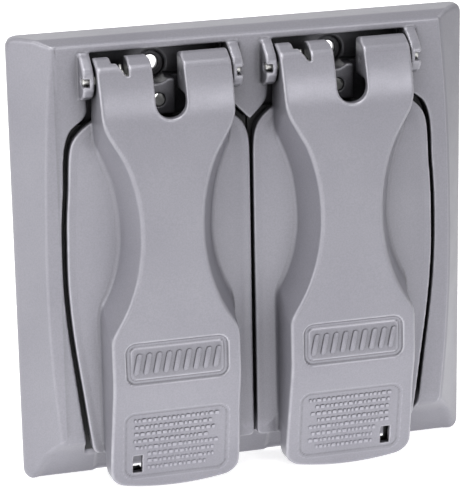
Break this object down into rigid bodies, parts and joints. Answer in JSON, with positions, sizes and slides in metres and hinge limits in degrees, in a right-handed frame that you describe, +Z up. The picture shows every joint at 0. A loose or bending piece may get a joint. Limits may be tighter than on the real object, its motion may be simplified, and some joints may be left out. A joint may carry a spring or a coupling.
{
  "type": "two-gang weatherproof outlet cover",
  "caption": "Weatherproof die-cast GFCI outlet cover, with spring-closed hinged lids over the device openings and foam gaskets.",
  "frame": {"origin": "centre of the plate's outline, on the back mounting plane", "axes": "+Z up the wall, front of the cover faces -Y, +X to the right seen from the front"},
  "size_m": [0.1178, 0.023, 0.1156],
  "materials": {
    "casting": "satin grey powder coat",
    "pin": "bare stainless",
    "spring": "bare stainless wire",
    "foam": "matte closed-cell foam"
  },
  "bodies": {
    "plate": {"cover_plate": "casting", "box_gasket": "foam", "left_lid_left_pin": "pin", "left_lid_right_pin": "pin", "right_lid_left_pin": "pin", "right_lid_right_pin": "pin", "left_lid_spring": "spring", "right_lid_spring": "spring", "left_well_gasket": "foam", "right_well_gasket": "foam"},
    "left_lid_body": {"left_lid": "casting"},
    "right_lid_body": {"right_lid": "casting"}
  },
  "joints": [
    {"name": "left_lid_hinge", "type": "hinge", "parent": "plate", "child": "left_lid_body", "pos_m": [-0.02302, -0.014, 0.0487], "axis": [-1, 0, 0], "range_deg": [0, 120], "stiffness_Nm_per_rad": 0.02, "springref_deg": -30, "deforming": ["left_lid_spring"]},
    {"name": "right_lid_hinge", "type": "hinge", "parent": "plate", "child": "right_lid_body", "pos_m": [0.02302, -0.014, 0.0487], "axis": [-1, 0, 0], "range_deg": [0, 120], "stiffness_Nm_per_rad": 0.02, "springref_deg": -30, "deforming": ["right_lid_spring"]}
  ]
}
